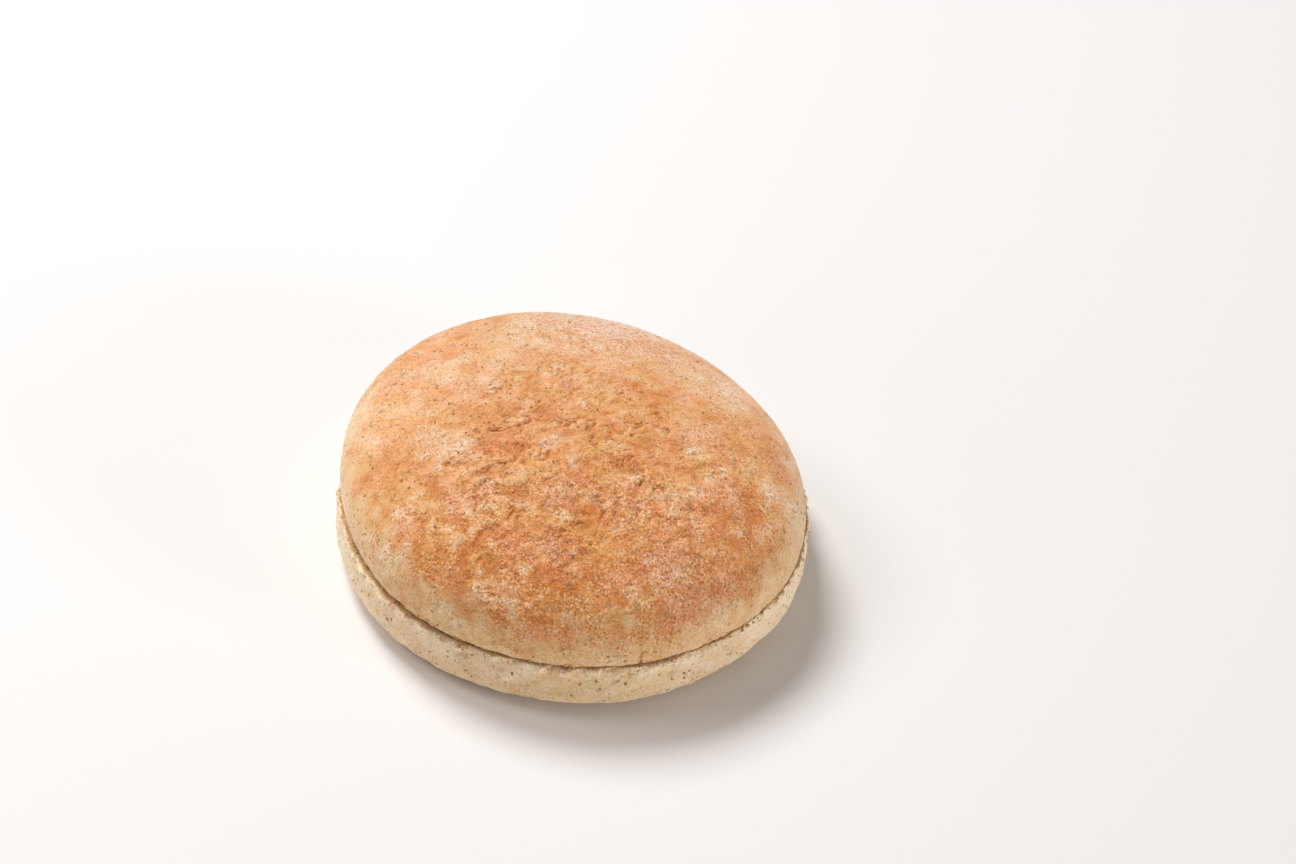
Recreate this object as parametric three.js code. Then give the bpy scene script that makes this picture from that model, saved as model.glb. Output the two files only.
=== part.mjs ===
// A sliced wholemeal hamburger bun, in millimetres, +Z up, standing on z = 0.
// One level knife cut parts the bun into a domed crown and the flat-bottomed heel it lies on.
// Seen from the front, which is -Y, the crown has slipped a little to the left and forwards.
import * as THREE from "three";
import { ImprovedNoise } from "three/addons/math/ImprovedNoise.js";
import { mergeGeometries, mergeVertices } from "three/addons/utils/BufferGeometryUtils.js";

// Driving dimensions of the whole bun
const BUN_DIAMETER = 112;
const BUN_HEIGHT = 42.4;
const CUT_HEIGHT = 15.1; // from the table up to the heel's cut face
const CUT_GAP = 0.35; // between the two cut faces
const BUN_RADIUS = BUN_DIAMETER / 2;

// Crown: a full-shouldered dome, a little narrower than the heel and tucked in at the knife cut
const CROWN_BASE = CUT_HEIGHT + CUT_GAP;
const CROWN_RADIUS = BUN_RADIUS - 1.1;
const CROWN_WIDEST = CROWN_BASE + 3.8; // height where the crown is widest
const CROWN_TUCK = 0.4; // how far the skin curls in from there to the cut
const DOME_FULLNESS = 2.35; // superellipse power: 2 is an ellipse, more gives fuller shoulders
const DOME_LEAN = new THREE.Vector2(-1.8, -1.4); // sideways shift of the top of the dome
const CROWN_SLIP = new THREE.Vector2(-1.2, -0.75); // how far the crown lies off the heel's middle

// Heel: a shallow pan shape that bellies out low down and rolls under to its flat bottom
const HEEL_RADIUS = BUN_RADIUS;
const HEEL_WIDEST = 6; // height where the heel is widest
const HEEL_TUCK = 0.9; // how far the skin curls in from there to the cut
const BOTTOM_RADIUS = 44.2; // flat face that the bun stands on

// Outlines seen from above: lobes push a round piece out of true
const CROWN_LOBES = [
  { count: 2, swell: 0.0165, turn: THREE.MathUtils.degToRad(-44) },
  { count: 3, swell: 0.0114, turn: THREE.MathUtils.degToRad(-1) },
];
const HEEL_LOBES = [
  { count: 2, swell: 0.0122, turn: THREE.MathUtils.degToRad(50) },
  { count: 3, swell: 0.0034, turn: THREE.MathUtils.degToRad(-38) },
];

// Crust relief: broad swells all over, wrinkles and dimples only round the spot where the top has
// set and sunk, and a slightly ragged edge along the cut
const SWELL = { wavelength: 34, height: 0.5 };
const WRINKLE = { wavelength: 8.5, height: 0.75, stretch: 0.6 };
const DIMPLE = { wavelength: 5.2, height: 0.5 };
const WRINKLED_SPOT = { middle: new THREE.Vector3(0, -12, 40), full: 16, none: 44 };
const RAGGED_EDGE = { wavelength: 5, height: 0.35, reach: 2.5 };

// Mesh fineness
const CAP_CELLS = 40; // squares along one side of the grid that covers the dome
const RIM_STEPS = 4 * CAP_CELLS; // a ring has as many steps as the grid's border
const CAP_FROM = 0.36; // share of the crown's profile, from the cut up, below the grid
const CROWN_ROWS = 10;
const HEEL_ROWS = 10;
const PROFILE_STEPS = 24;
const FACE_RIM = 0.94; // inner radius of the ring of triangles round a flat face
const WELD = 1e-3; // vertices closer than this are one
const HAIR = 1e-4; // angles closer than this to a step round the rim are on it

const noise = new ImprovedNoise();

function ripple(point, { wavelength, height }) {
  return height * noise.noise(point.x / wavelength, point.y / wavelength, point.z / wavelength);
}

// Points of a curve given by angle, over one quarter turn
function quarterTurn(pointAt) {
  const points = [];
  for (let step = 0; step <= PROFILE_STEPS; step += 1) {
    points.push(pointAt((step / PROFILE_STEPS) * (Math.PI / 2)));
  }
  return points;
}

// A profile is half the section of a piece, as (radius, height), walked from below upwards.
function profileThrough(lower, upper) {
  const curve = new THREE.SplineCurve([...lower, ...upper.slice(1)]);
  curve.arcLengthDivisions = 1000;
  return curve;
}

function crownProfile() {
  const tuck = quarterTurn((angle) => new THREE.Vector2(
    CROWN_RADIUS - CROWN_TUCK * (1 - Math.sin(angle)),
    CROWN_WIDEST - (CROWN_WIDEST - CROWN_BASE) * Math.cos(angle),
  ));
  const power = 2 / DOME_FULLNESS;
  const dome = quarterTurn((angle) => new THREE.Vector2(
    CROWN_RADIUS * Math.max(0, Math.cos(angle)) ** power,
    CROWN_WIDEST + (BUN_HEIGHT - CROWN_WIDEST) * Math.sin(angle) ** power,
  ));
  return profileThrough(tuck, dome);
}

function heelProfile() {
  const underside = quarterTurn((angle) => new THREE.Vector2(
    BOTTOM_RADIUS + (HEEL_RADIUS - BOTTOM_RADIUS) * Math.sin(angle),
    HEEL_WIDEST * (1 - Math.cos(angle)),
  ));
  const side = quarterTurn((angle) => new THREE.Vector2(
    HEEL_RADIUS - HEEL_TUCK * (1 - Math.cos(angle)),
    HEEL_WIDEST + (CUT_HEIGHT - HEEL_WIDEST) * Math.sin(angle),
  ));
  return profileThrough(underside, side);
}

const CROWN_PROFILE = crownProfile();
const HEEL_PROFILE = heelProfile();

function roundOutline(lobes, angle) {
  return lobes.reduce(
    (scale, lobe) => scale + lobe.swell * Math.cos(lobe.count * (angle - lobe.turn)),
    1,
  );
}

// Point of the smooth piece at an angle round the bun and a share of the way up its profile
function profilePoint(profile, lobes, angle, share) {
  const station = profile.getPointAt(THREE.MathUtils.clamp(share, 0, 1));
  const radius = Math.max(0, station.x) * roundOutline(lobes, angle);
  return new THREE.Vector3(radius * Math.cos(angle), radius * Math.sin(angle), station.y);
}

// Raggedness of the skin beside the knife cut, fading out with height above or below it
function raggedEdge(point, distance) {
  return ripple(point, RAGGED_EDGE) * Math.max(0, 1 - distance / RAGGED_EDGE.reach);
}

function crownSurface(angle, share) {
  const point = profilePoint(CROWN_PROFILE, CROWN_LOBES, angle, share);
  const climb = (point.z - CROWN_BASE) / (BUN_HEIGHT - CROWN_BASE);
  const outward = new THREE.Vector3(point.x, point.y, point.z - CROWN_BASE).normalize();
  const away = point.distanceTo(WRINKLED_SPOT.middle);
  const sunk = 1 - THREE.MathUtils.smoothstep(away, WRINKLED_SPOT.full, WRINKLED_SPOT.none);
  const crease = new THREE.Vector3(point.x * WRINKLE.stretch, point.y, point.z);
  const wrinkles = -Math.abs(ripple(crease, WRINKLE)) + ripple(point, DIMPLE);
  const relief = ripple(point, SWELL) + sunk * wrinkles + raggedEdge(point, point.z - CROWN_BASE);
  point.addScaledVector(outward, relief);
  point.x += DOME_LEAN.x * climb + CROWN_SLIP.x;
  point.y += DOME_LEAN.y * climb + CROWN_SLIP.y;
  return point;
}

function heelSurface(angle, share) {
  const point = profilePoint(HEEL_PROFILE, HEEL_LOBES, angle, share);
  const outward = new THREE.Vector3(Math.cos(angle), Math.sin(angle), 0);
  return point.addScaledVector(outward, ripple(point, SWELL) + raggedEdge(point, CUT_HEIGHT - point.z));
}

// Moves every vertex of a flat patch to where the piece's surface is.
function drape(patch, surfaceAt) {
  const positions = patch.getAttribute("position");
  for (let i = 0; i < positions.count; i += 1) {
    const target = surfaceAt(positions.getX(i), positions.getY(i));
    positions.setXYZ(i, target.x, target.y, target.z);
  }
  patch.deleteAttribute("normal");
  patch.deleteAttribute("uv");
  return patch;
}

// Square rings of the grid become round rings with evenly spaced points, so the dome has no pole.
function squareToPolar(x, y) {
  const ring = Math.max(Math.abs(x), Math.abs(y));
  if (ring === 0) return { ring, angle: 0 };
  const quarter = Math.PI / 4;
  if (Math.abs(x) >= Math.abs(y)) {
    return { ring, angle: quarter * (y / x) + (x < 0 ? Math.PI : 0) };
  }
  return { ring, angle: 2 * quarter - quarter * (x / y) + (y < 0 ? Math.PI : 0) };
}

// The patches of a piece share the steps round its rim, so that they meet point to point.
function onStep(angle) {
  const step = (2 * Math.PI) / RIM_STEPS;
  const nearest = Math.round(angle / step);
  if (Math.abs(angle - nearest * step) > HAIR) return angle;
  return THREE.MathUtils.euclideanModulo(nearest, RIM_STEPS) * step;
}

// Grid over the upper part of a dome, from a share of its profile to the apex
function domeCap(surface, fromShare) {
  return drape(new THREE.PlaneGeometry(2, 2, CAP_CELLS, CAP_CELLS), (x, y) => {
    const { ring, angle } = squareToPolar(x, y);
    return surface(onStep(angle), 1 - ring * (1 - fromShare));
  });
}

// Rings round a piece, from its lowest profile point to a share of its profile
function sideBand(surface, rows, toShare) {
  return drape(new THREE.PlaneGeometry(2, 2, RIM_STEPS, rows), (x, y) =>
    surface(onStep(Math.PI * (x + 1)), ((y + 1) / 2) * toShare));
}

// Flat face inside a piece's rim, looking up (facing 1) or down (facing -1)
function flatFace(rimAt, facing) {
  const ring = new THREE.RingGeometry(FACE_RIM, 1, RIM_STEPS, 1);
  const middle = new THREE.CircleGeometry(FACE_RIM, RIM_STEPS);
  const layOut = (x, y) => {
    const rim = rimAt(onStep(facing * Math.atan2(y, x)));
    const reach = Number(Math.hypot(x, y).toFixed(4));
    return new THREE.Vector3(rim.x * reach, rim.y * reach, rim.z);
  };
  return mergeGeometries([drape(ring, layOut), drape(middle, layOut)]);
}

function piece(name, patches, material) {
  const skin = mergeVertices(mergeGeometries(patches), WELD);
  skin.computeVertexNormals();
  const mesh = new THREE.Mesh(skin, material);
  mesh.name = name;
  return mesh;
}

const crown = piece(
  "crown",
  [
    domeCap(crownSurface, CAP_FROM),
    sideBand(crownSurface, CROWN_ROWS, CAP_FROM),
    flatFace((angle) => crownSurface(angle, 0), -1),
  ],
  new THREE.MeshStandardMaterial({ color: "#d99a62", roughness: 0.7, metalness: 0 }),
);

const heel = piece(
  "heel",
  [
    sideBand(heelSurface, HEEL_ROWS, 1),
    flatFace((angle) => heelSurface(angle, 1), 1),
    flatFace((angle) => heelSurface(angle, 0), -1),
  ],
  new THREE.MeshStandardMaterial({ color: "#dcbb90", roughness: 0.8, metalness: 0 }),
);

// The origin is under the middle of the bun's box.
const bun = new THREE.Group();
bun.add(crown, heel);
const middle = new THREE.Box3().setFromObject(bun).getCenter(new THREE.Vector3());
bun.children.forEach((half) => half.position.set(-middle.x, -middle.y, 0));

export default bun;
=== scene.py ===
"""A sliced wholemeal hamburger bun on a pale table: heel, crown, bran flecks, flour and crumbs."""
import math

import bmesh
import bpy
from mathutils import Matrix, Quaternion, Vector


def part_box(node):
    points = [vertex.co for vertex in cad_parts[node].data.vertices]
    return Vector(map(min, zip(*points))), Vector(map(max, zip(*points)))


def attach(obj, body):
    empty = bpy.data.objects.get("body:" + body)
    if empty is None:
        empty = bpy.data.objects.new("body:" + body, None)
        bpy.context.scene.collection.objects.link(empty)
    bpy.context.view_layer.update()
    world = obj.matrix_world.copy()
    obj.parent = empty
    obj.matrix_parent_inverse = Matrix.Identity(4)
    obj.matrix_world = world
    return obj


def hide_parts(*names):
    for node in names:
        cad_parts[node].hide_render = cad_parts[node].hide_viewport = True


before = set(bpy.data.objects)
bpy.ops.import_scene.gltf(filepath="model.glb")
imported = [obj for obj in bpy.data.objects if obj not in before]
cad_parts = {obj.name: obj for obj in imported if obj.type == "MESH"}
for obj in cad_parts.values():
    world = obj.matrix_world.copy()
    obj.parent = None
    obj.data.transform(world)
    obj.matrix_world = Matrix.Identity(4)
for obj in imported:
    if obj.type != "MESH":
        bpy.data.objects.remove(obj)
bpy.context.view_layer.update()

# Heel
# The lower half of the bun: wholemeal dough that baked to a thin pale skin on a flat tray, so it is
# flat underneath and rolls over at the edge. A knife cut made its level upper face.
MM = 0.001  # a millimetre, in metres


class Field:
    """A value that varies over a surface, held by a socket of a node tree; sums of fields are fields."""

    def __init__(self, sheet, socket):
        self.sheet = sheet
        self.socket = socket

    def __add__(self, other):
        return self.sheet.number("ADD", self, other)

    def __sub__(self, other):
        return self.sheet.number("SUBTRACT", self, other)

    def __rsub__(self, other):
        return self.sheet.number("SUBTRACT", other, self)

    def __mul__(self, other):
        return self.sheet.number("MULTIPLY", self, other)

    def __truediv__(self, other):
        return self.sheet.number("DIVIDE", self, other)

    def __abs__(self):
        return self.sheet.number("ABSOLUTE", self)

    __radd__ = __add__
    __rmul__ = __mul__


class NodeSheet:
    """Writes a node tree one step at a time, and hands out what each step gives as a field."""

    STRETCH = 4.0  # noise keeps close to 0.5, and what it is off that, times this, runs from about -1 to 1
    DOT_CORE = 0.3  # share of a dot's radius that is at full strength

    def __init__(self, tree):
        self.tree = tree

    def feed(self, socket, value):
        if isinstance(value, Field):
            self.tree.links.new(value.socket, socket)
        else:
            socket.default_value = value

    def node(self, kind, inputs=None, **settings):
        node = self.tree.nodes.new(kind)
        for name, value in settings.items():
            setattr(node, name, value)
        for key, value in (inputs or {}).items():
            self.feed(node.inputs[key], value)
        return node

    def field(self, kind, inputs=None, output=0, **settings):
        return Field(self, self.node(kind, inputs, **settings).outputs[output])

    def number(self, operation, *values):
        return self.field("ShaderNodeMath", dict(enumerate(values)), operation=operation)

    def vector(self, operation, *values, output="Vector"):
        return self.field("ShaderNodeVectorMath", dict(enumerate(values)), output, operation=operation)

    def scaled(self, vector, factor):
        return self.field("ShaderNodeVectorMath", {0: vector, "Scale": factor}, operation="SCALE")

    def distance(self, point, middle):
        return self.vector("DISTANCE", point, middle, output="Value")

    def axes(self, vector):
        return [Field(self, socket) for socket in self.node("ShaderNodeSeparateXYZ", {0: vector}).outputs]

    def joined(self, x, y, z):
        return self.field("ShaderNodeCombineXYZ", {0: x, 1: y, 2: z})

    def turned(self, point, angle):
        """The point turned about the upright axis, so that a stretched pattern lies at that angle."""
        inputs = {"Vector": point, "Angle": math.radians(-angle)}
        return self.field("ShaderNodeVectorRotate", inputs, rotation_type="Z_AXIS")

    def fade(self, value, start, end, low=0.0, high=1.0):
        """Goes smoothly from low at start to high at end, and stays there on either side."""
        inputs = {"Value": value, "From Min": start, "From Max": end, "To Min": low, "To Max": high}
        return self.field("ShaderNodeMapRange", inputs, interpolation_type="SMOOTHSTEP")

    def grain(self, point, size, detail=2.0):
        """Cloudy noise from 0 to 1 with lumps of about that size, one number or one per axis."""
        sizes = size if isinstance(size, tuple) else (size, size, size)
        place = self.vector("MULTIPLY", point, tuple(1 / length for length in sizes))
        return self.field("ShaderNodeTexNoise", {"Vector": place, "Scale": 1.0, "Detail": detail})

    def ripple(self, point, size, detail=2.0):
        """The same noise stretched to run from about -1 to 1."""
        return (self.grain(point, size, detail) - 0.5) * self.STRETCH

    def swayed(self, point, size, reach):
        """The point pushed about by noise, so that what is drawn there meanders."""
        place = self.scaled(point, 1 / size)
        drift = self.field("ShaderNodeTexNoise", {"Vector": place, "Scale": 1.0, "Detail": 1.0}, "Color")
        drift = self.scaled(self.vector("SUBTRACT", drift, (0.5, 0.5, 0.5)), self.STRETCH * reach)
        return self.vector("ADD", point, drift)

    def dots(self, point, cell, radius, share, fray_size, fray):
        """Soft frayed dots in a share of the cells, 1 in a dot's middle and 0 outside its radius."""
        frayed = self.scaled(self.swayed(point, fray_size, fray), 1 / cell)
        cells = self.node("ShaderNodeTexVoronoi", {"Vector": frayed, "Scale": 1.0})
        lot = self.axes(Field(self, cells.outputs["Color"]))[0]
        away = Field(self, cells.outputs["Distance"])
        dot = self.fade(away, radius / cell, self.DOT_CORE * radius / cell)
        return dot * self.number("LESS_THAN", lot, share)

    def blend(self, factor, first, second):
        """Colour between two colours."""
        inputs = {0: factor, 6: first, 7: second}
        return self.field("ShaderNodeMix", inputs, 2, data_type="RGBA")

    def ramp(self, value, shades):
        """Colour read off a row of (place, colour) shades."""
        node = self.node("ShaderNodeValToRGB", {0: value})
        stops = node.color_ramp.elements
        while len(stops) < len(shades):
            stops.new(0.5)
        for stop, (place, colour) in zip(stops, shades):
            stop.position = place
            stop.color = (*colour, 1.0)
        return Field(self, node.outputs[0])

    def noted(self, name, output="Fac"):
        """What a geometry tree wrote on the surface under that name."""
        return self.field("ShaderNodeAttribute", output=output, attribute_name=name)


class ShapeSheet(NodeSheet):
    """A geometry tree with named dials for its sizes."""

    def __init__(self, name):
        super().__init__(bpy.data.node_groups.new(name, "GeometryNodeTree"))
        self.tree.interface.new_socket("Geometry", in_out="INPUT", socket_type="NodeSocketGeometry")
        self.tree.interface.new_socket("Geometry", in_out="OUTPUT", socket_type="NodeSocketGeometry")
        self.entry = self.tree.nodes.new("NodeGroupInput")
        self.start = Field(self, self.entry.outputs[0])

    def dial(self, name, kind="NodeSocketFloat"):
        """A named input of the tree."""
        self.tree.interface.new_socket(name, in_out="INPUT", socket_type=kind)
        return Field(self, self.entry.outputs[name])

    def place(self):
        """Where a point is, in millimetres."""
        return self.scaled(self.field("GeometryNodeInputPosition"), 1 / MM)

    def moved(self, shape, offset):
        """The shape with its points moved by an offset in millimetres."""
        return self.field("GeometryNodeSetPosition", {"Geometry": shape, "Offset": self.scaled(offset, MM)})

    def note(self, shape, name, value, domain="POINT", kind="FLOAT"):
        """Writes a number or a vector on every point, for a material or a later tree to read."""
        inputs = {"Geometry": shape, "Name": name, "Value": value}
        return self.field("GeometryNodeStoreNamedAttribute", inputs, domain=domain, data_type=kind)

    def noted(self, name):
        """What was written on the points under that name, earlier in this tree or on the piece it reads."""
        return self.field("GeometryNodeInputNamedAttribute", {"Name": name})

    def finish(self, shape, material):
        """Ends the tree in one real, smooth mesh with its material."""
        realized = self.field("GeometryNodeRealizeInstances", {0: shape})
        smooth = self.field("GeometryNodeSetShadeSmooth", {0: realized})
        clad = self.field("GeometryNodeSetMaterial", {"Geometry": smooth, "Material": material})
        self.feed(self.tree.nodes.new("NodeGroupOutput").inputs[0], clad)
        return self.tree


def shaped(name, start_mesh, tree, dials):
    """Runs a geometry tree on a mesh and keeps the result as a plain mesh object of that name."""
    worker = bpy.data.objects.new(name + "_worker", start_mesh)
    bpy.context.scene.collection.objects.link(worker)
    modifier = worker.modifiers.new("shape", "NODES")
    modifier.node_group = tree
    for item in tree.interface.items_tree:
        if item.in_out == "INPUT" and item.name in dials:
            modifier[item.identifier] = dials[item.name]
    depsgraph = bpy.context.evaluated_depsgraph_get()
    mesh = bpy.data.meshes.new_from_object(
        worker.evaluated_get(depsgraph), preserve_all_data_layers=True, depsgraph=depsgraph)
    worker.modifiers.remove(modifier)
    bpy.data.objects.remove(worker)
    mesh.name = name
    piece = bpy.data.objects.new(name, mesh)
    bpy.context.scene.collection.objects.link(piece)
    return piece


WELD = 0.005 * MM  # points of a solid that are closer than this are one
LEVEL = 0.02 * MM  # points that are this close to the height of the cut are in its face


def open_form(node, cut_height):
    """Copy of a solid's skin, welded into quads, without the flat face that the knife left."""
    form = bmesh.new()
    form.from_mesh(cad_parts[node].data)
    bmesh.ops.remove_doubles(form, verts=form.verts, dist=WELD)
    cut_face = [f for f in form.faces if all(abs(v.co.z - cut_height) < LEVEL for v in f.verts)]
    bmesh.ops.delete(form, geom=cut_face, context="FACES")
    bmesh.ops.join_triangles(
        form, faces=form.faces,
        angle_face_threshold=math.radians(40), angle_shape_threshold=math.radians(60))
    mesh = bpy.data.meshes.new(node + "_form")
    form.to_mesh(mesh)
    form.free()
    return mesh


SKIN_EDGE = 0.96  # share of the grid that is crust; the rest is turned in over the cut face
EDGE_BLEND = 0.01  # share of the grid on which crust gives way to crumb
CUT_FACE_TURN = 0.12  # share of the radius that the turned-in rim covers
ROUNDING_LEVEL = 2  # subdivisions that round the solid's facets before the grid is laid on it
RAY_LENGTH = 0.2  # metres, more than any half measures


def draped_skin(sheet, facing, profile):
    """Lays a fine grid over a bun half, from the middle of its outside to the cut and a little way in.

    The profile gives, along the way out, the radius and height that the grid's rays aim at, as shares.
    """
    middle = sheet.dial("Middle of cut", "NodeSocketVector")
    radius = sheet.dial("Radius")
    height = sheet.dial("Height")
    points = sheet.dial("Points across", "NodeSocketInt")
    form = sheet.field("GeometryNodeSubdivisionSurface", {"Mesh": sheet.start, "Level": ROUNDING_LEVEL})
    grid = sheet.field("GeometryNodeMeshGrid", {0: 2.0, 1: 2.0, 2: points, 3: points})
    flat = sheet.field("GeometryNodeInputPosition")
    across, along, _ = sheet.axes(flat)
    ring = sheet.number("MAXIMUM", abs(across), abs(along))
    grid = sheet.note(grid, "ring", ring)
    square = sheet.vector("DIVIDE", flat, sheet.joined(ring, ring, 1.0))
    spoke = sheet.vector("NORMALIZE", sheet.vector("TANGENT", sheet.scaled(square, math.pi / 4)))
    spoke = sheet.vector("MULTIPLY", spoke, (facing, 1.0, 0.0))
    share = sheet.number("MINIMUM", ring / SKIN_EDGE, 1.0)
    aims = []
    for column in (1, 2):
        curve_node = sheet.node("ShaderNodeFloatCurve", {"Value": share})
        curve = curve_node.mapping.curves[0]
        for station in profile[1:-1]:
            curve.points.new(station[0], station[column])
        curve.points[0].location = (profile[0][0], profile[0][column])
        curve.points[len(profile) - 1].location = (profile[-1][0], profile[-1][column])
        for point in curve.points:
            point.handle_type = "AUTO_CLAMPED"
        curve_node.mapping.update()
        aims.append(Field(sheet, curve_node.outputs[0]))
    rise = sheet.joined(0.0, 0.0, aims[1] * height * facing)
    ray = sheet.vector("ADD", sheet.scaled(spoke, aims[0] * radius), rise)
    hit = sheet.field("GeometryNodeRaycast", {
        "Target Geometry": form, "Source Position": middle, "Ray Direction": ray, "Ray Length": RAY_LENGTH,
    }, "Hit Position")
    inward = sheet.fade(ring, SKIN_EDGE, 1.0, 1.0, 1.0 - CUT_FACE_TURN)
    laid = sheet.vector("MULTIPLY_ADD", sheet.vector("SUBTRACT", hit, middle),
                        sheet.joined(inward, inward, 1.0), middle)
    return sheet.field("GeometryNodeSetPosition", {"Geometry": grid, "Position": laid}), middle


def rolled_lip(sheet, skin, from_cut, facing, radius):
    """Rolls the crust's edge over into the cut face; from_cut is a point's height above or below it."""
    near = sheet.number("MINIMUM", from_cut, radius)
    roll = (1.0 - near / radius) * (math.pi / 2)
    inward = (1.0 - sheet.number("COSINE", roll)) * radius
    towards_cut = near - (1.0 - sheet.number("SINE", roll)) * radius
    level = sheet.vector("MULTIPLY", sheet.place(), (1.0, 1.0, 0.0))
    offset = sheet.scaled(sheet.vector("NORMALIZE", level), inward * -1.0)
    offset = sheet.vector("ADD", offset, sheet.joined(0.0, 0.0, towards_cut * -facing))
    return sheet.moved(skin, offset)


BESIDE_CUT = 2.0  # millimetres from the cut within which the skin moves mostly sideways
LEAST_RISE = 0.15  # share of its upright move that is left right at the cut


def raised(sheet, skin, from_cut):
    """Moves the skin out by its relief note, and beside the knife cut mostly sideways, never across it."""
    upright = sheet.fade(from_cut, 0.0, BESIDE_CUT, LEAST_RISE, 1.0)
    way = sheet.vector("MULTIPLY", sheet.field("GeometryNodeInputNormal"), sheet.joined(1.0, 1.0, upright))
    return sheet.moved(skin, sheet.scaled(way, sheet.noted("relief")))


FAN_WELD = 0.01 * MM  # joins the tips of the fan


def closed_cut(sheet, skin, middle):
    """Closes the open middle of the cut face with a flat fan."""
    neighbours = sheet.field("GeometryNodeInputMeshEdgeNeighbors")
    rim = sheet.field("FunctionNodeCompare", {2: neighbours, 3: 1}, data_type="INT", operation="EQUAL")
    fan = sheet.node("GeometryNodeExtrudeMesh", {
        "Mesh": skin, "Selection": rim, "Offset Scale": 0.0}, mode="EDGES")
    gathered = sheet.field("GeometryNodeSetPosition", {
        "Geometry": Field(sheet, fan.outputs["Mesh"]),
        "Selection": Field(sheet, fan.outputs["Top"]),
        "Position": middle,
    })
    return sheet.field("GeometryNodeMergeByDistance", {"Geometry": gathered, "Distance": FAN_WELD})


# Lumps of the crust's patterns, in millimetres
FINE_GRAIN = 0.55
SPECKLE = 0.95
MOTTLE = 4.2
COARSE_PATCH = 4.5
BLUSH = 8.0
BLUSH_SHIFT = (50.0, 0.0, 0.0)  # keeps the blushes from falling in with the other patterns
# Dots of the crust, in millimetres: the cells they lie in, their radius, the share of the cells that have
# one, and the size and the reach of the waves that fray them
SAND_GRAINS = {"cell": 0.78, "radius": 0.38, "share": 0.45, "fray_size": 0.5, "fray": 0.3}
LARGE_STAINS = {"cell": 3.2, "radius": 1.1, "share": 0.4, "fray_size": 1.0, "fray": 0.5}
SMALL_STAINS = {"cell": 1.6, "radius": 0.5, "share": 0.4, "fray_size": 0.6, "fray": 0.25}
CRUMB_PORES = {"cell": 1.3, "radius": 0.7, "share": 0.7, "fray_size": 0.8, "fray": 0.4}
BUMP_HEIGHT = 0.2 * MM


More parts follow.
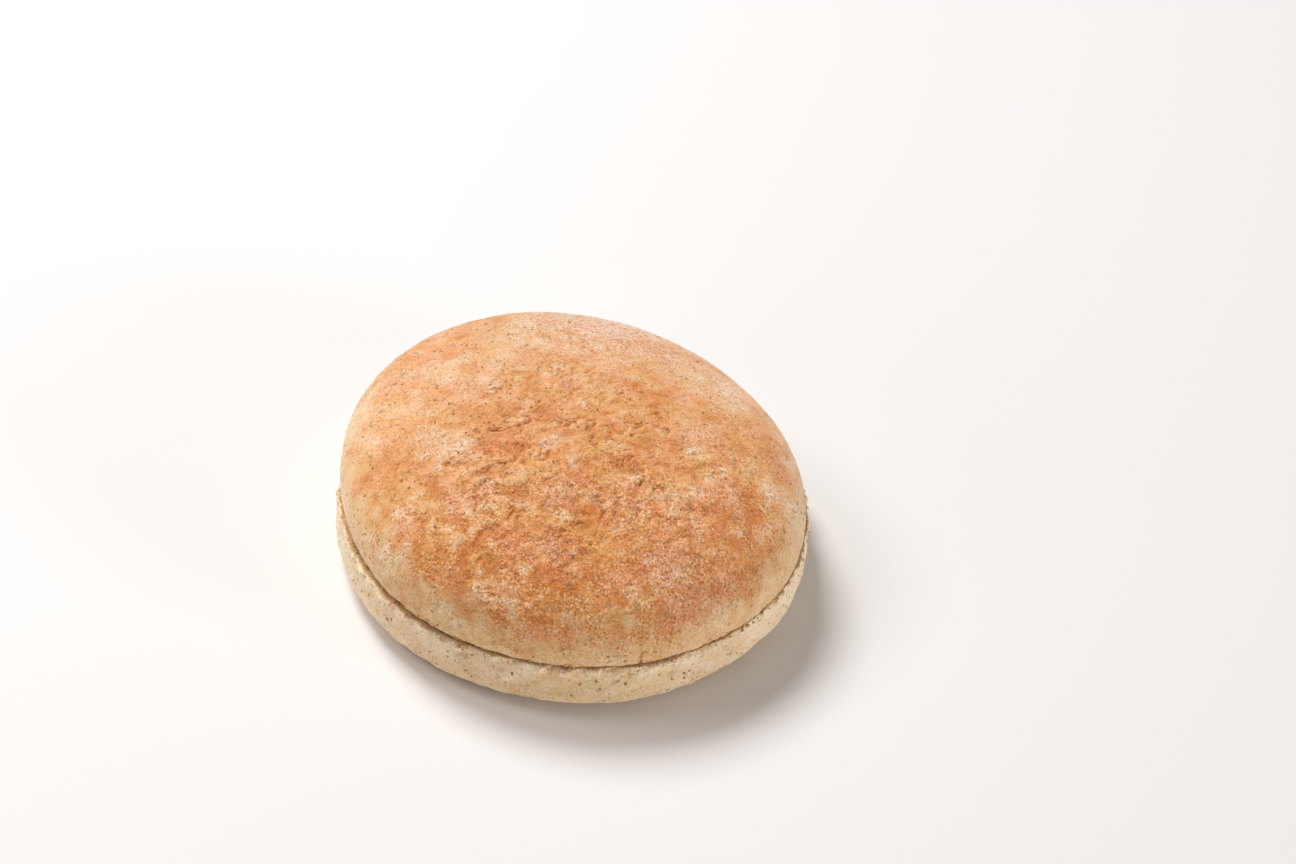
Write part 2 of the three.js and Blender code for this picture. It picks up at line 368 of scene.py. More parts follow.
def crust_material(name, shades, roughness, sheen, grit, rim_shades=None, crinkles=None):
    """Baked skin: pale to browned by the bake note, brown in hollows as painted shade, with bright grains
    and flour, partly painted highlights.

    What the cut note marks is the bread's pale, porous inside.
    """
    # Painted shade: the brown laid into pits, bites, cracks and grooves.
    hollow_shade_brown = (0.56, 0.19, 0.032, 1.0)
    # Painted shade of the narrow gap between the two halves.
    gap_shade_brown = (0.5, 0.28, 0.11, 1.0)
    crumb_cream = (0.74, 0.55, 0.35, 1.0)
    # Painted shade in the pores of the cut face.
    pore_shade_tan = (0.5, 0.31, 0.15, 1.0)
    rosy_brown = (0.77, 0.3, 0.135, 1.0)
    straw_brown = (0.74, 0.41, 0.115, 1.0)
    bran_brown = (0.4, 0.17, 0.055, 1.0)
    # Cream of the sand grains, partly a painted highlight on them.
    cream_grain_and_glint = (1.0, 0.77, 0.54, 1.0)
    flour_white = (0.96, 0.81, 0.7, 1.0)
    material = bpy.data.materials.new(name)
    material.use_nodes = True
    surface = material.node_tree.nodes["Principled BSDF"]
    sheet = NodeSheet(material.node_tree)
    bake, crease, lip, powder, relief, sandy, cut = (
        sheet.noted(note) for note in ("bake", "crease", "lip", "powder", "relief", "sandy", "cut"))
    point = sheet.noted("rest", "Vector")
    fine = sheet.ripple(point, FINE_GRAIN, detail=1.0)
    speckle = sheet.ripple(point, SPECKLE) * 0.6 + fine * 0.4
    grains = sheet.dots(point, **SAND_GRAINS)
    mottle = sheet.ripple(point, MOTTLE) * (sandy * 0.25 + 0.2) * grit
    blush = sheet.ripple(sheet.vector("ADD", point, BLUSH_SHIFT), BLUSH)
    gritty = sheet.fade(bake, 0.0, 0.45, 0.5 * grit, grit)
    groove = crinkles(sheet, point) if crinkles else 0.0

    # Raised skin is paler and hollows are browner; over that lie blushes, stains, grains and flour.
    # The paler raised skin and browner hollows are partly baked colour and partly painted light and shade.
    depth = bake + mottle - relief * 0.55 * grit + groove * 0.2 - speckle * (gritty * 0.08 + sandy * 0.1)
    colour = sheet.ramp(depth, shades)
    if rim_shades:
        rim_colour = sheet.ramp(depth + blush * 0.12 + 0.25, rim_shades)
        colour = sheet.blend(sheet.noted("browned"), rim_colour, colour)
    drift = sheet.fade(bake, 0.1, 0.4, 0.1, 0.32) * grit
    colour = sheet.blend(sheet.fade(blush, 0.0, 0.6) * drift, colour, rosy_brown)
    colour = sheet.blend(sheet.fade(blush, 0.0, -0.6) * drift, colour, straw_brown)
    # Painted shade in pits, bites, cracks and grooves.
    shaded_hollow = sheet.number("MAXIMUM", crease * 0.8, sheet.fade(groove, 0.45, 0.95) * 0.75)
    colour = sheet.blend(shaded_hollow, colour, hollow_shade_brown)
    # Brown along the lips of the cut: painted shade in the gap between the halves.
    colour = sheet.blend(lip, colour, gap_shade_brown)
    stain = sheet.dots(point, **LARGE_STAINS) * (sandy * 0.2 + 0.35)
    stain = stain + sheet.dots(point, **SMALL_STAINS) * (sandy * 0.3 + 0.45)
    colour = sheet.blend(stain, colour, bran_brown)
    # Bright grains: cream sand grains, partly painted highlights.
    colour = sheet.blend(grains * (sandy * 0.28 + 0.1), colour, cream_grain_and_glint)
    # Flour, and painted highlights and sheen on ridges, lumps and the top.
    colour = sheet.blend(sheet.fade(speckle, -0.5, 0.7) * powder, colour, flour_white)
    # Darker pores in the cut face: painted shade in the holes.
    pore = sheet.dots(point, **CRUMB_PORES)
    colour = sheet.blend(cut, colour, sheet.blend(pore, crumb_cream, pore_shade_tan))

    # Painted glints and painted shade on the grain: it lightens and darkens most in blue and least in red,
    # so dark grains are brown, not grey.
    coarse = gritty * sheet.fade(sheet.grain(point, COARSE_PATCH), 0.4, 0.62, 0.25, 1.0)
    glint = fine * (coarse * 0.25 + sandy * 0.24) + grains * sandy * 0.24
    glint = sheet.joined(glint * 0.85 + 1.0, glint + 1.0, glint * 1.2 + 1.0)
    sheet.feed(surface.inputs["Base Color"], sheet.vector("MULTIPLY", colour, glint))

    surface.subsurface_method = "RANDOM_WALK"
    surface.inputs["Subsurface Weight"].default_value = 0.4
    surface.inputs["Subsurface Radius"].default_value = (1.0, 0.5, 0.25)
    surface.inputs["Subsurface Scale"].default_value = 1.0 * MM
    surface.inputs["Roughness"].default_value = roughness
    surface.inputs["Specular IOR Level"].default_value = 0.35
    surface.inputs["Sheen Weight"].default_value = sheen
    surface.inputs["Sheen Roughness"].default_value = 0.5
    surface.inputs["Sheen Tint"].default_value = (1.0, 0.9, 0.82, 1.0)
    rough_height = speckle * coarse + grains * (sandy * 0.8 + 0.2) - groove - pore * cut * 2.0
    bump = sheet.field("ShaderNodeBump", {"Strength": 1.0, "Distance": BUMP_HEIGHT, "Height": rough_height})
    sheet.feed(surface.inputs["Normal"], bump)
    return material


# Way out along the skin, radius and height that the rays aim at, from the middle of the bottom to the cut
HEEL_PROFILE = [(0.0, 0.0, 1.0), (0.5, 0.76, 1.0), (0.63, 0.9, 0.93), (0.73, 0.985, 0.72),
                (0.8, 1.0, 0.5), (0.92, 0.985, 0.1), (1.0, 0.98, 0.003)]
HEEL_SHADES = [(0.0, (0.86, 0.685, 0.475)), (0.45, (0.745, 0.51, 0.275)), (1.0, (0.54, 0.29, 0.105))]
HEEL_DIALS = {"Points across": 250, "Lip radius": 0.5, "Swell": 0.22, "Dent": 0.3, "Sand": 0.07,
              "Lump height": 0.5, "Lip bulge": 0.3, "Bite": 0.6}
# Lumps of the heel's skin, in millimetres: alike all ways, or along x, y and z
HEEL_SWELL = (9.0, 9.0, 6.0)
HEEL_DENT = (5.4, 5.4, 4.0)
HEEL_CRUMBLE = (3.0, 3.0, 20.0)
HEEL_BITE = (2.0, 2.0, 5.0)
HEEL_STAIN = 9.0
SAND = 1.0
GAPING_SPOT = (-36.0, -40.0, 15.0)  # the cut stands a little open here
GAPING_REACH = (60.0, 15.0)  # millimetres from there where it starts to open and where it is widest


def lip_opening(sheet, point, crumble):
    """How far the lips of the cut are rolled back: unevenly, and most at the gaping spot."""
    gape = sheet.fade(sheet.distance(point, GAPING_SPOT), *GAPING_REACH, 0.8, 1.6)
    return gape * sheet.fade(crumble, -0.8, 0.8, 0.4, 1.6)


def side_on(across, along):
    """0 at the front and the back of the bun, 1 at its left and right sides."""
    return across * across / (across * across + along * along)


def crumb_shows(sheet):
    """1 on the rim that is turned in over the cut face, 0 on the crust."""
    return sheet.fade(sheet.noted("ring"), SKIN_EDGE, SKIN_EDGE + EDGE_BLEND)


def heel_tree(crust, cut_height):
    """Heel skin: soft swells and dents, a fine sandy grain and a lumpy, nibbled lip along the cut."""
    sheet = ShapeSheet("heel skin")
    skin, middle = draped_skin(sheet, -1.0, HEEL_PROFILE)
    spot = sheet.place()
    across, along, height = sheet.axes(spot)
    below_cut = cut_height / MM - height
    crumble = sheet.ripple(spot, HEEL_CRUMBLE, detail=3.0)
    opened = lip_opening(sheet, spot, crumble)
    skin = rolled_lip(sheet, skin, below_cut, -1.0, sheet.dial("Lip radius") * opened)
    turned_in = sheet.fade(sheet.noted("ring"), SKIN_EDGE, 1.0)
    lump = sheet.fade(crumble, -0.1, 0.5) * sheet.fade(below_cut, 2.6, 0.6)
    bite = sheet.fade(sheet.grain(spot, HEEL_BITE, detail=3.0), 0.52, 0.68)
    bite = bite * sheet.fade(below_cut, 1.4, 0.1)
    swell = sheet.ripple(spot, HEEL_SWELL)
    dent = sheet.ripple(spot, HEEL_DENT, detail=3.0)
    sand = sheet.ripple(spot, SAND)

    relief = swell * sheet.dial("Swell") + dent * sheet.dial("Dent") + sand * sheet.dial("Sand")
    relief = relief + lump * sheet.dial("Lump height") - bite * sheet.dial("Bite")
    relief = relief + sheet.fade(below_cut, 3.5, 0.8) * opened * sheet.dial("Lip bulge")
    relief = relief * (1.0 - turned_in) * sheet.fade(height, 0.02, 1.5)
    skin = sheet.note(skin, "relief", relief)

    underside = sheet.fade(height, 3.0, 0.0)
    # Browner in the dents, partly stain and partly painted shade; paler at the left and right sides,
    # painted light where the lamps fall.
    stain = sheet.ripple(spot, HEEL_STAIN, detail=3.0) * 0.15 + dent * -0.12
    skin = sheet.note(skin, "bake", stain + underside * 0.5 - side_on(across, along) * 0.25 + 0.28)
    # Painted shade in the bites along the lip.
    skin = sheet.note(skin, "crease", bite * 0.4)
    # The lip note paints the shade in the gap of the cut.
    skin = sheet.note(skin, "lip", sheet.fade(below_cut / opened, 0.3, 0.1))
    skin = sheet.note(skin, "cut", crumb_shows(sheet))
    # Whiter on raised dents and lumps: painted highlights.
    skin = sheet.note(skin, "powder", sheet.fade(dent, 0.0, 0.8, 0.0, 0.08) + lump * 0.08)
    # Sandier near the cut, so the lip shows more bright grains, partly painted highlights.
    skin = sheet.note(skin, "sandy", sheet.fade(below_cut, 3.0, 0.5, 0.25, 0.8))
    skin = sheet.note(skin, "rest", spot, kind="FLOAT_VECTOR")
    return sheet.finish(closed_cut(sheet, raised(sheet, skin, below_cut), middle), crust)


def box_dials(low, high, cut_height):
    """Dials that fit a skin to the box of its solid."""
    centre = (low + high) / 2
    return {
        "Middle of cut": (centre.x, centre.y, cut_height),
        "Radius": (high.x - low.x) / 2,
        "Height": high.z - low.z,
    }


heel_low, heel_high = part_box("heel")
heel_crust = crust_material("heel_crust", HEEL_SHADES, roughness=0.75, sheen=0.1, grit=0.5)
heel = shaped(
    "heel_dough", open_form("heel", heel_high.z), heel_tree(heel_crust, heel_high.z),
    {**HEEL_DIALS, **box_dials(heel_low, heel_high, heel_high.z)})
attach(heel, "root")
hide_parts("heel")

# Crown
# The upper half: the same dough, domed and baked golden brown under the oven's top heat. Its skin set
# and sank a little while it cooled, which left wrinkles and pits, and it lies loose on the heel.
CROWN_RAYS = 10  # evenly turned rays from the top down; one more runs along the cut
LAST_TURN = math.radians(86)
ray_turns = [ray / (CROWN_RAYS - 1) * LAST_TURN for ray in range(CROWN_RAYS)]
CROWN_PROFILE = [(ray / CROWN_RAYS, math.sin(turn), math.cos(turn)) for ray, turn in enumerate(ray_turns)]
CROWN_PROFILE.append((1.0, 1.0, 0.004))
CROWN_SHADES = [(0.0, (0.78, 0.58, 0.41)), (0.25, (0.775, 0.47, 0.258)), (0.5, (0.75, 0.365, 0.142)),
                (0.75, (0.69, 0.272, 0.066)), (1.0, (0.6, 0.19, 0.025))]
RIM_SHADES = [(0.0, (0.8, 0.56, 0.31)), (0.3, (0.74, 0.465, 0.22)), (0.6, (0.68, 0.375, 0.13)),
              (1.0, (0.58, 0.26, 0.06))]
CROWN_DIALS = {"Points across": 300, "Lip radius": 0.5, "Swell": 0.15, "Fold height": 0.9,
               "Pucker height": 0.55, "Groove depth": 0.4, "Pit depth": 0.3, "Sand": 0.12, "Bite": 0.5,
               "Crack depth": 0.5}
# Lumps of the crown's skin, in millimetres: alike all ways, or along x, y and z
CROWN_SWELL = 9.0
CROWN_CRUMBLE = (3.4, 3.4, 20.0)
CROWN_BITE = (2.2, 2.2, 6.0)
FOLD = (8.0, 3.8, 4.0)
PUCKER = (3.2, 2.3, 2.3)
GROOVE_LENGTH = 3.0
WRINKLED_PATCH = 8.0
BROWN_PATCH = 13.0
RIM_FRAY = 4.5
SPOT_FRAY = 5.0
DAB = 3.0
FLOUR_PATCH = 10.0
CRACK_WAVE = 1.6
# Dots of the crown, given as those of the crust are
BARE_DOTS = {"cell": 9.0, "radius": 3.6, "share": 0.4, "fray_size": 3.0, "fray": 1.6}
PITS = {"cell": 2.8, "radius": 0.6, "share": 0.4, "fray_size": 2.0, "fray": 0.9}
WRINKLED_SPOT = (-2.0, -17.0, 40.0)  # middle of the wrinkled part of the top
WRINKLED_REACH = (50.0, 18.0)  # millimetres from there where wrinkles start and where they are full
WRINKLE_ANGLE = 19.0  # direction of the wrinkles, round from the right
WRINKLE_WANDER = (4.0, 1.6)  # size and reach of the waves that bend the wrinkles
WRINKLE_MEAN = 0.33  # mean height of the wrinkles, taken off so that the top keeps its height
STRAW_SPOT = (-27.0, -47.0, 26.0)  # the pale rim reaches higher up the crown here, with brown dabs on it
STRAW_REACH = (22.0, 5.0)
DABBED_REACH = (38.0, 14.0)
CRACK_FOOT = (18.7, -52.0, 15.5)  # where a small split in the lower edge starts
CRACK_SIDEWAYS = (0.94, 0.34)  # direction square to the split, as x and y
CRACK_REACH = (5.0, 3.5)
# Soft spots of the crown seen from above: x, y, radius and how much browner than what is round them
BROWNED_SPOTS = [
    (-45, -19, 9, 0.3), (-19, -45, 10, 0.32), (-3, -44, 12, 0.35), (20, -38, 13, 0.35), (36, -20, 14, 0.35),
    (42, 0, 15, 0.2), (-17, -15, 8, 0.2), (2, -28, 12, 0.2), (-10, -34, 14, 0.12), (4, 4, 11, -0.12),
    (-48, 2, 28, -0.26), (-24, 22, 27, -0.3), (-2, 15, 20, -0.16), (-31, -13, 10, -0.22),
    (25, -20, 10, -0.2), (-20, -22, 9, -0.2), (28, 20, 16, -0.25), (28, 0, 12, -0.1), (-8, -10, 6, -0.25),
    (50, -11, 17, -0.34), (-43, -38, 12, -0.12), (4, -54, 14, 0.12),
]
# Places where flour lies, seen from above, the broad ones on the top and left partly painted sheen: x, y,
# radius and how thick
FLOUR_AND_SHEEN_SPOTS = [
    (30, 21, 14, 0.4), (23, -39, 13, 0.3), (28, -3, 11, 0.25), (-32, 11, 24, 0.15), (0, 42, 31, 0.9),
    (-52, 2, 16, 0.15), (-28, -15, 9, 0.3), (-20, -29, 10, 0.2), (-8.5, -12.5, 3, 0.6), (-1, 2, 2.6, 0.5),
    (28, -19, 2.8, 0.6), (37.5, -26, 2.6, 0.5), (14, -26.5, 2.6, 0.5), (-20.5, -26, 3, 0.5),
]


def spotted(sheet, point, spots):
    """Sum of soft round spots as seen from above."""
    level = sheet.vector("MULTIPLY", point, (1.0, 1.0, 0.0))
    ragged = sheet.grain(point, SPOT_FRAY, detail=3.0) * 1.6 + 0.2
    total = 0.0
    for x, y, radius, amount in spots:
        away = sheet.distance(level, (x, y, 0.0)) * ragged
        total = sheet.fade(away, radius, 0.0, 0.0, amount) + total
    return total


def crumpled(sheet, point):
    """Skin that set and sank: soft folds and puckers, and the short grooves between them, from 0 to 1."""
    wandering = sheet.swayed(point, *WRINKLE_WANDER)
    fold = abs(sheet.ripple(sheet.turned(wandering, WRINKLE_ANGLE), FOLD))
    pucker = abs(sheet.ripple(wandering, PUCKER))
    groove = sheet.number("MAXIMUM", sheet.fade(fold, 0.24, 0.0), sheet.fade(pucker, 0.28, 0.0, 0.0, 0.8))
    return fold, pucker, groove * sheet.fade(sheet.grain(point, GROOVE_LENGTH), 0.44, 0.58)


def crown_grooves(sheet, point):
    """The same grooves for the crown's material, as strong as the skin is wrinkled there."""
    return crumpled(sheet, point)[2] * sheet.noted("wrinkled")


def crown_tree(crust, cut_height):
    """Crown skin: wrinkles, pits and sandy grain on the top, a smoother side and a nibbled lower lip."""
    sheet = ShapeSheet("crown skin")
    skin, middle = draped_skin(sheet, 1.0, CROWN_PROFILE)
    spot = sheet.place()
    across, along, height = sheet.axes(spot)
    above_cut = height - cut_height / MM
    crumble = sheet.ripple(spot, CROWN_CRUMBLE, detail=3.0)
    opened = lip_opening(sheet, spot, crumble)
    skin = rolled_lip(sheet, skin, above_cut, 1.0, sheet.dial("Lip radius") * opened)
    turned_in = sheet.fade(sheet.noted("ring"), SKIN_EDGE, 1.0)

    wrinkled = sheet.fade(sheet.distance(spot, WRINKLED_SPOT), *WRINKLED_REACH)
    fold, pucker, groove = crumpled(sheet, spot)
    uneven = wrinkled * sheet.fade(sheet.grain(spot, WRINKLED_PATCH), 0.38, 0.6, 0.45, 1.0)
    sand = sheet.ripple(spot, SAND, detail=1.0)
    swell = sheet.ripple(spot, CROWN_SWELL)
    lip = sheet.fade(above_cut, 1.2, 0.1)
    bite = sheet.fade(sheet.grain(spot, CROWN_BITE, detail=3.0), 0.52, 0.7) * lip

    from_foot = sheet.distance(spot, CRACK_FOOT)
    sideways = (across - CRACK_FOOT[0]) * CRACK_SIDEWAYS[0] + (along - CRACK_FOOT[1]) * CRACK_SIDEWAYS[1]
    sideways = sideways + sheet.ripple(spot, CRACK_WAVE) * 0.7
    crack = sheet.fade(abs(sideways), 0.4, 0.05) * sheet.fade(from_foot, *CRACK_REACH)

    # The pale rim ends higher in some places than in others; above it the crown is browned.
    patch = sheet.ripple(spot, BROWN_PATCH, detail=3.0)
    from_straw = sheet.distance(spot, STRAW_SPOT)
    edge = above_cut + patch * 3.0 + sheet.ripple(spot, RIM_FRAY, detail=4.0) * 5.0
    edge = edge - sheet.fade(from_straw, *STRAW_REACH, 0.0, 2.8)
    edge = edge - side_on(across, along) * sheet.fade(across, -20.0, 20.0, 7.0, 5.0)
    browned = sheet.fade(edge, 4.2, 12.0)
    bare = sheet.dots(spot, **BARE_DOTS) * browned
    dabs = sheet.ripple(spot, DAB, detail=3.0) * sheet.fade(from_straw, *DABBED_REACH)
    bake = browned * 0.52 + patch * 0.2 + 0.15 + bare * 0.22 + dabs * 0.45
    bake = bake + spotted(sheet, spot, BROWNED_SPOTS)
    sandy = sheet.fade(along + across * -0.4, 6.0, -42.0, 0.15, 1.0) * (1.0 - bare * 0.7)
    sandy = sandy * (browned * 0.6 + 0.4)
    pit = sheet.dots(spot, **PITS) * (wrinkled * 0.5 + sandy * 0.4 + 0.1)

    wrinkles = fold * sheet.dial("Fold height") + pucker * sheet.dial("Pucker height")
    wrinkles = wrinkles - groove * sheet.dial("Groove depth")
    relief = swell * sheet.dial("Swell") + (wrinkles - WRINKLE_MEAN) * uneven
    relief = relief - pit * sheet.dial("Pit depth") + sand * sheet.dial("Sand") * (sandy * 0.7 + 0.3)
    relief = relief - bite * sheet.dial("Bite") - crack * sheet.dial("Crack depth")
    skin = sheet.note(skin, "relief", relief * (1.0 - turned_in))

    skin = sheet.note(skin, "bake", bake)
    skin = sheet.note(skin, "sandy", sandy)
    skin = sheet.note(skin, "wrinkled", uneven)
    skin = sheet.note(skin, "browned", browned)
    # Painted shade in pits, bites and the split.
    shaded_hollow = sheet.number("MAXIMUM", pit * 0.9, sheet.number("MAXIMUM", bite * 0.6, crack * 0.9))
    skin = sheet.note(skin, "crease", shaded_hollow)
    # The lip note paints the shade in the gap of the cut.
    skin = sheet.note(skin, "lip", sheet.fade(above_cut / opened, 0.4, 0.15))
    skin = sheet.note(skin, "cut", crumb_shows(sheet))
    # Flour, with painted highlights on the fold ridges and painted sheen in the broad spots on the top and
    # left.
    dusting = sheet.fade(sheet.grain(spot, FLOUR_PATCH, detail=3.0), 0.45, 0.75, 0.0, 0.3)
    ridge_highlight = sheet.fade(fold, 0.45, 0.9) * uneven * 0.12
    powder = (dusting + ridge_highlight + spotted(sheet, spot, FLOUR_AND_SHEEN_SPOTS)) * (1.0 - bare * 0.6) * (1.0 - pit)
    skin = sheet.note(skin, "powder", powder)
    skin = sheet.note(skin, "rest", spot, kind="FLOAT_VECTOR")
    return sheet.finish(closed_cut(sheet, raised(sheet, skin, above_cut), middle), crust)


crown_low, crown_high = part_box("crown")
crown_crust = crust_material(
    "crown_crust", CROWN_SHADES, roughness=0.6, sheen=0.35, grit=1.0,
    rim_shades=RIM_SHADES, crinkles=crown_grooves)
crown = shaped(
    "crown_dough", open_form("crown", crown_low.z), crown_tree(crown_crust, crown_low.z),
    {**CROWN_DIALS, **box_dials(crown_low, crown_high, crown_low.z)})
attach(crown, "root")
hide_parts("crown")

# Bran flecks
# Flat scraps of milled bran, dark brown, that lie in the dough's surface all over both halves and were
# baked into the crust.
BRAN_DIALS = {"Bits per square mm": 0.2, "Shortest": 0.25, "Longest": 1.2, "Slimness": 0.55,
              "Thickness": 0.1, "Seed": 5}
HEEL_SHARE = 1.1  # flecks on a patch of the heel for each one on as much of the crown
BIT_MOTTLE = 0.3  # millimetres


def strewn(name, carriers, room, bit, material, dials):
    """Strews copies of a bit over the skins of other pieces, as densely as room says, from 0 to 1."""
    sheet = ShapeSheet(name)
    seed = sheet.dial("Seed", "NodeSocketInt")

    def lot(low, high, number):
        inputs = {2: low, 3: high, "Seed": seed + number}
        return sheet.field("FunctionNodeRandomValue", inputs, 1, data_type="FLOAT")

    skins = sheet.node("GeometryNodeJoinGeometry")
    for carrier in carriers:
        skin = sheet.field("GeometryNodeObjectInfo", {"Object": carrier}, "Geometry")
        sheet.feed(skins.inputs[0], skin)
    density = room(sheet) * sheet.dial("Bits per square mm") * (1 / MM) ** 2
    points = sheet.node("GeometryNodeDistributePointsOnFaces", {
        "Mesh": Field(sheet, skins.outputs[0]), "Density": density, "Seed": seed})
    spin = sheet.field("FunctionNodeAxisAngleToRotation", {"Axis": (0, 0, 1), "Angle": lot(0, math.tau, 1)})
    turned = sheet.field("FunctionNodeRotateRotation", {
        0: Field(sheet, points.outputs["Rotation"]), 1: spin}, rotation_space="LOCAL")
    shortest = sheet.dial("Shortest")
    size = shortest + (sheet.dial("Longest") - shortest) * sheet.number("POWER", lot(0, 1, 2), 2.0)
    width = size * sheet.dial("Slimness") * lot(0.6, 1.4, 3)
    thickness = sheet.number("MINIMUM", sheet.dial("Thickness"), width)
    bits = sheet.field("GeometryNodeInstanceOnPoints", {
        "Points": Field(sheet, points.outputs["Points"]), "Instance": bit(sheet), "Rotation": turned,
        "Scale": sheet.scaled(sheet.joined(size, width, thickness), MM)})
    bits = sheet.note(bits, "shade", lot(0, 1, 4), domain="INSTANCE")
    return shaped(name, bpy.data.meshes.new(name + "_start"), sheet.finish(bits, material), dials)


def bit_material(name, light, dark, roughness):
    """Small dry bits that go from light to dark, each with a shade of its own and a mottled face."""
    material = bpy.data.materials.new(name)
    material.use_nodes = True
    surface = material.node_tree.nodes["Principled BSDF"]
    sheet = NodeSheet(material.node_tree)
    point = sheet.scaled(sheet.field("ShaderNodeTexCoord", output="Object"), 1 / MM)
    depth = sheet.noted("shade") + (sheet.grain(point, BIT_MOTTLE) - 0.5) * 0.5
    sheet.feed(surface.inputs["Base Color"], sheet.ramp(depth, [(0.0, light), (1.0, dark)]))
    surface.inputs["Roughness"].default_value = roughness
    surface.inputs["Specular IOR Level"].default_value = 0.3
    return material


def rounded_bit(sheet):
    """A lump of twenty faces, which its sizes flatten to a scrap or a crumb."""
    return sheet.field("GeometryNodeMeshIcoSphere", {"Radius": 0.5, "Subdivisions": 1})


def on_crust(sheet):
    """1 on the crust and 0 on the turned-in rim, just clear of its edge."""
    return sheet.number("LESS_THAN", sheet.noted("ring"), SKIN_EDGE - EDGE_BLEND)


def over_both_halves(sheet):
    """All over the crust but for the bottom, and less where the skin is sandy."""
    height = sheet.axes(sheet.place())[2]
    cut = heel_high.z / MM
    of_this_half = sheet.fade(height, cut - 1.0, cut + 1.0, HEEL_SHARE, 1.0)
    clear_of_bottom = sheet.fade(height, 0.05, 0.4)
    not_sandy = 1.0 - sheet.noted("sandy") * 0.5
    return on_crust(sheet) * of_this_half * not_sandy * clear_of_bottom


bran_brown = bit_material("bran_brown", light=(0.62, 0.32, 0.11), dark=(0.4, 0.175, 0.055), roughness=0.8)
bran = strewn("bran_flecks", (heel, crown), over_both_halves, rounded_bit, bran_brown, BRAN_DIALS)
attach(bran, "root")

# Flour
# A thin dusting of white flour on the crown, left from the shaped dough: single grains that lie in
# loose patches.
FLOUR_DIALS = {"Bits per square mm": 22.0, "Shortest": 0.12, "Longest": 0.3, "Slimness": 0.9,
               "Thickness": 0.12, "Seed": 8}
FLOUR_CLUMP = 1.8  # millimetres


def grain_bit(sheet):
    """A grain of eight faces."""
    return sheet.field("GeometryNodeMeshUVSphere", {"Radius": 0.5, "Segments": 4, "Rings": 2})


def in_patches(sheet):
    """In clumps, where the crown's flour-and-highlight note is high."""
    powder = sheet.fade(sheet.noted("powder"), 0.1, 1.0)
    return powder * sheet.fade(sheet.grain(sheet.place(), FLOUR_CLUMP), 0.4, 0.65) * on_crust(sheet)


flour_white = bit_material("flour_white", light=(0.97, 0.8, 0.64), dark=(0.92, 0.66, 0.45), roughness=0.9)
flour = strewn("flour_grains", (crown,), in_patches, grain_bit, flour_white, FLOUR_DIALS)
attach(flour, "root")

# Crumbs
# Small brown and tan scraps of crust and bread that the knife tore off the two halves. They lie loose,
# caught in clumps along the lips of the cut.
CRUMB_DIALS = {"Bits per square mm": 1.6, "Shortest": 0.25, "Longest": 1.3, "Slimness": 0.75,
               "Thickness": 0.5, "Seed": 3}
CRUMB_CLUMP = 6.0  # millimetres
LIP_BAND = (0.9, 0.95)  # shares of the grid between which the crumbs set in


def along_cut(sheet):
    """In clumps, on the last bit of crust before the turned-in rim."""
    ring = sheet.noted("ring")
    clumps = sheet.fade(sheet.grain(sheet.place(), CRUMB_CLUMP), 0.48, 0.64)
    return sheet.fade(ring, *LIP_BAND) * sheet.fade(ring, SKIN_EDGE + EDGE_BLEND, SKIN_EDGE) * clumps


crumb_tan = bit_material("crumb_tan", light=(0.64, 0.4, 0.19), dark=(0.33, 0.15, 0.055), roughness=0.8)
crumbs = strewn("crumbs", (heel, crown), along_cut, rounded_bit, crumb_tan, CRUMB_DIALS)
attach(crumbs, "root")

# Table
# A plain table top, painted a matt, slightly warm white. The bun just stands on it, and it is wide enough
# that its edge is out of sight.
TABLE_HALF = 3.0  # metres
TABLE_PAINT = (0.84, 0.82, 0.815, 1.0)

table_mesh = bpy.data.meshes.new("table")
table_mesh.from_pydata(
    [(x * TABLE_HALF, y * TABLE_HALF, 0.0) for x, y in ((-1, -1), (1, -1), (1, 1), (-1, 1))],
    [], [(0, 1, 2, 3)])
table = bpy.data.objects.new("table", table_mesh)
bpy.context.scene.collection.objects.link(table)
table_white = bpy.data.materials.new("table_white")
table_white.use_nodes = True
table_surface = table_white.node_tree.nodes["Principled BSDF"]
table_surface.inputs["Base Color"].default_value = TABLE_PAINT
table_surface.inputs["Roughness"].default_value = 0.9
table_mesh.materials.append(table_white)

# Light and camera
# Two soft lamps, behind the bun on the left and beside it, and two broad low ones, to the right and at the
# front left, in even light from all round. The camera looks down on the bun's front, rolled a little.
ROOM_LIGHT = 0.24
ROOM_TINT = (1.0, 0.965, 0.925, 1.0)
PICTURE = (1296, 864)  # pixels
BUN_PIXEL = (576.0, 496.6)  # where the middle of the cut falls in the picture
PIXELS_PER_METRE = 4218.0  # at the bun
CAMERA_DISTANCE = 0.64  # metres
CAMERA_ELEVATION = 43.2  # degrees
CAMERA_ROLL = 6.7  # degrees
SENSOR_WIDTH = 36.0  # millimetres


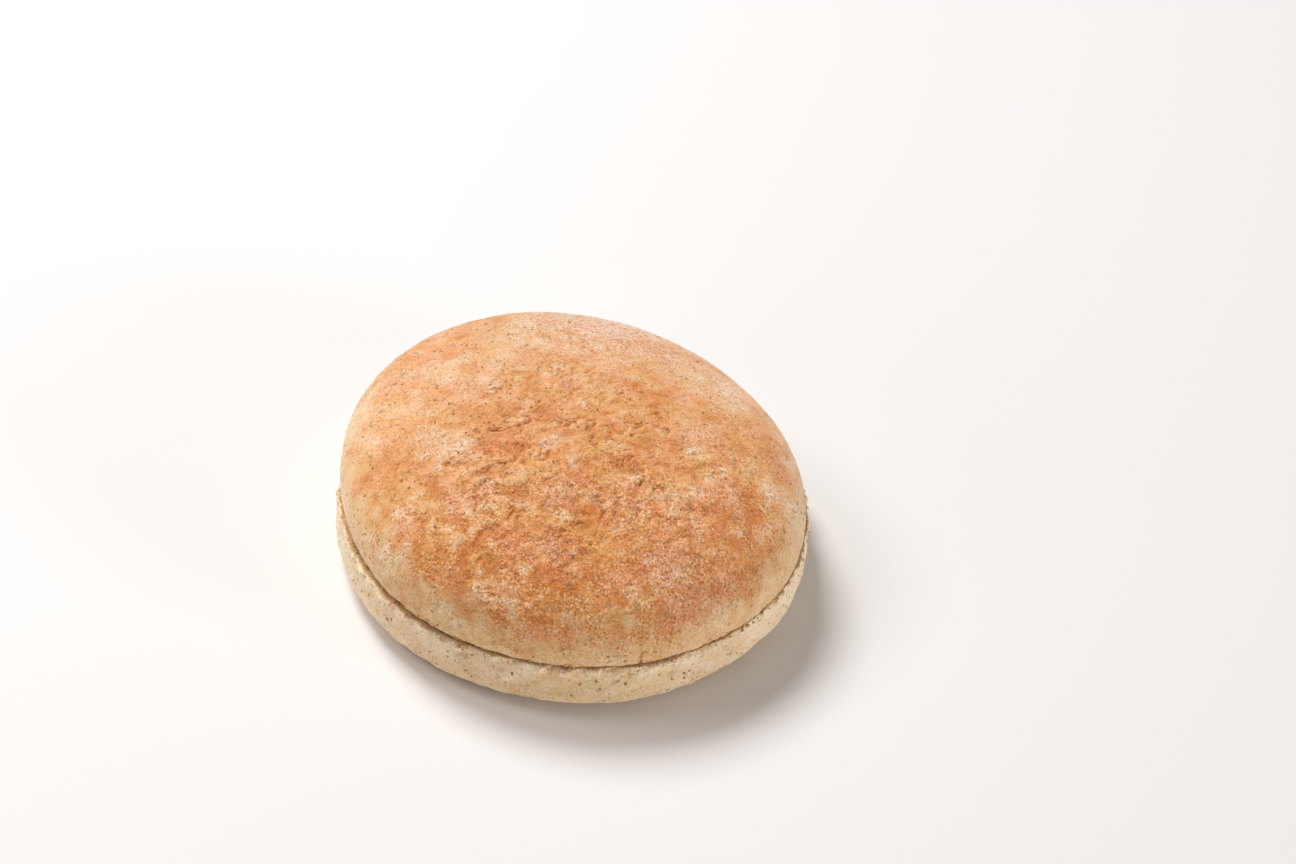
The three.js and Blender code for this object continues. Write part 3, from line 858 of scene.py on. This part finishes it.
def disc_light(name, around, above, distance, width, power):
    """Round lamp that looks at the bun from an angle round from the right and one up from the table."""
    lamp = bpy.data.lights.new(name, "AREA")
    lamp.shape = "DISK"
    lamp.size = width
    lamp.energy = power
    turn, rise = math.radians(around), math.radians(above)
    towards = Vector((math.cos(rise) * math.cos(turn), math.cos(rise) * math.sin(turn), math.sin(rise)))
    light = bpy.data.objects.new(name, lamp)
    light.location = towards * distance
    light.rotation_euler = towards.to_track_quat("Z", "Y").to_euler()
    bpy.context.scene.collection.objects.link(light)


disc_light("back_light", around=135, above=57, distance=1.6, width=0.64, power=20.3)
disc_light("left_light", around=182, above=47, distance=1.6, width=0.64, power=6.0)
disc_light("right_fill", around=-22, above=9, distance=1.8, width=0.75, power=15.0)
disc_light("left_fill", around=218, above=14, distance=1.8, width=0.75, power=2.5)

world = bpy.data.worlds.new("room")
world.use_nodes = True
background = world.node_tree.nodes["Background"]
background.inputs["Color"].default_value = ROOM_TINT
background.inputs["Strength"].default_value = ROOM_LIGHT
bpy.context.scene.world = world
bpy.context.scene.view_settings.view_transform = "Standard"

camera_data = bpy.data.cameras.new("camera")
camera_data.sensor_width = SENSOR_WIDTH
focal_pixels = PIXELS_PER_METRE * CAMERA_DISTANCE
camera_data.lens = focal_pixels * SENSOR_WIDTH / PICTURE[0]
camera = bpy.data.objects.new("camera", camera_data)
elevation = math.radians(CAMERA_ELEVATION)
target = Vector((0.0, 0.0, heel_high.z))
back = Vector((0.0, -math.cos(elevation), math.sin(elevation)))
camera.location = target + back * CAMERA_DISTANCE
level = Quaternion((1.0, 0.0, 0.0), math.pi / 2 - elevation)
rolled = level @ Quaternion((0.0, 0.0, 1.0), math.radians(CAMERA_ROLL))
sight = Vector((BUN_PIXEL[0] - PICTURE[0] / 2, PICTURE[1] / 2 - BUN_PIXEL[1], -focal_pixels)).normalized()
camera.rotation_mode = "QUATERNION"
camera.rotation_quaternion = rolled @ sight.rotation_difference(Vector((0.0, 0.0, -1.0)))
bpy.context.scene.collection.objects.link(camera)
bpy.context.scene.camera = camera
